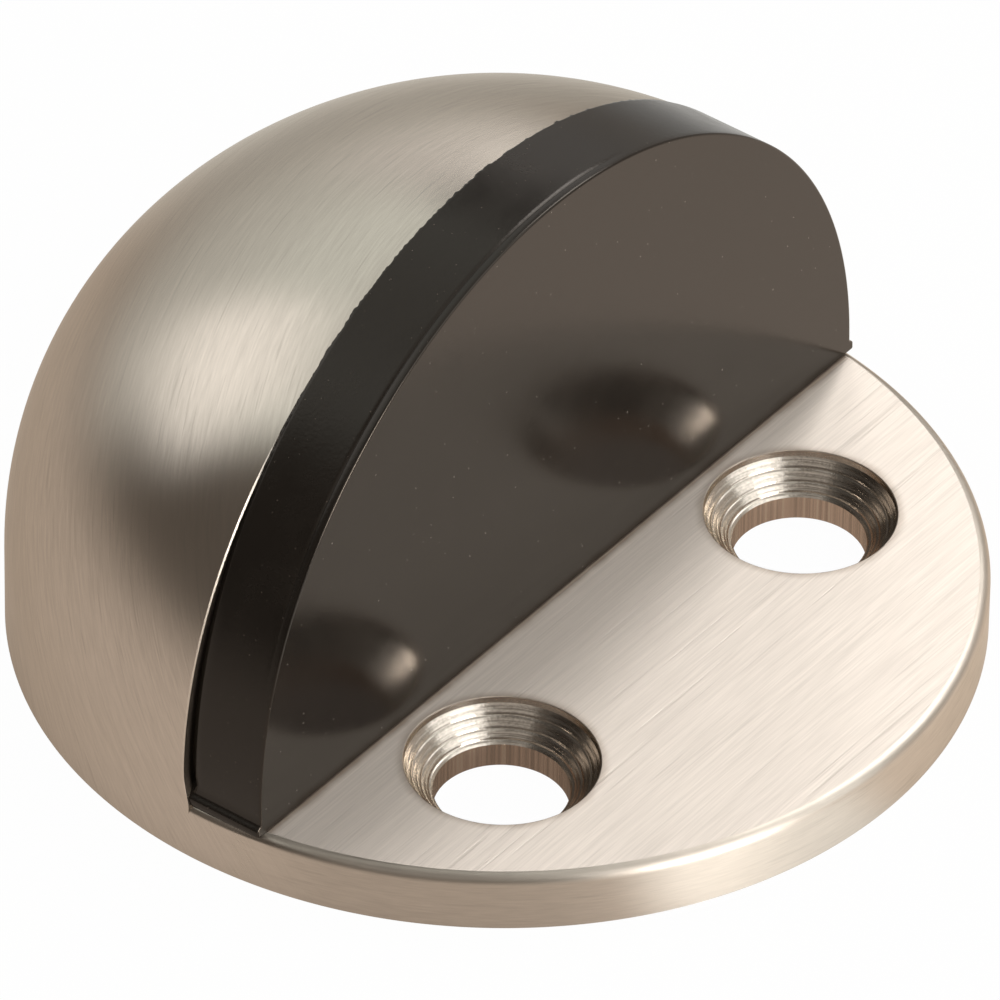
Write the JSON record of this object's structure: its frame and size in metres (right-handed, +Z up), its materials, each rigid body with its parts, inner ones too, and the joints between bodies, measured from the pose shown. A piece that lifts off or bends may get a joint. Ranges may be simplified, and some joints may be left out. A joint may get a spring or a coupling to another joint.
{
  "type": "floor door stop",
  "caption": "Half-dome floor door stop: round screw plate and dome cast in one, with a rubber buffer on the flat face and countersunk screw holes.",
  "frame": {"origin": "centre of the round base, on the floor", "axes": "+Z up from the floor, -Y towards the door that meets the rubber, +X along the flat face"},
  "size_m": [0.045, 0.045, 0.025],
  "materials": {
    "body": "satin nickel plate on a zinc casting, brushed",
    "rubber_buffer": "dark grey moulded rubber, semi-gloss"
  },
  "bodies": {
    "root": {"body": "body", "rubber_buffer": "rubber_buffer"}
  },
  "joints": []
}
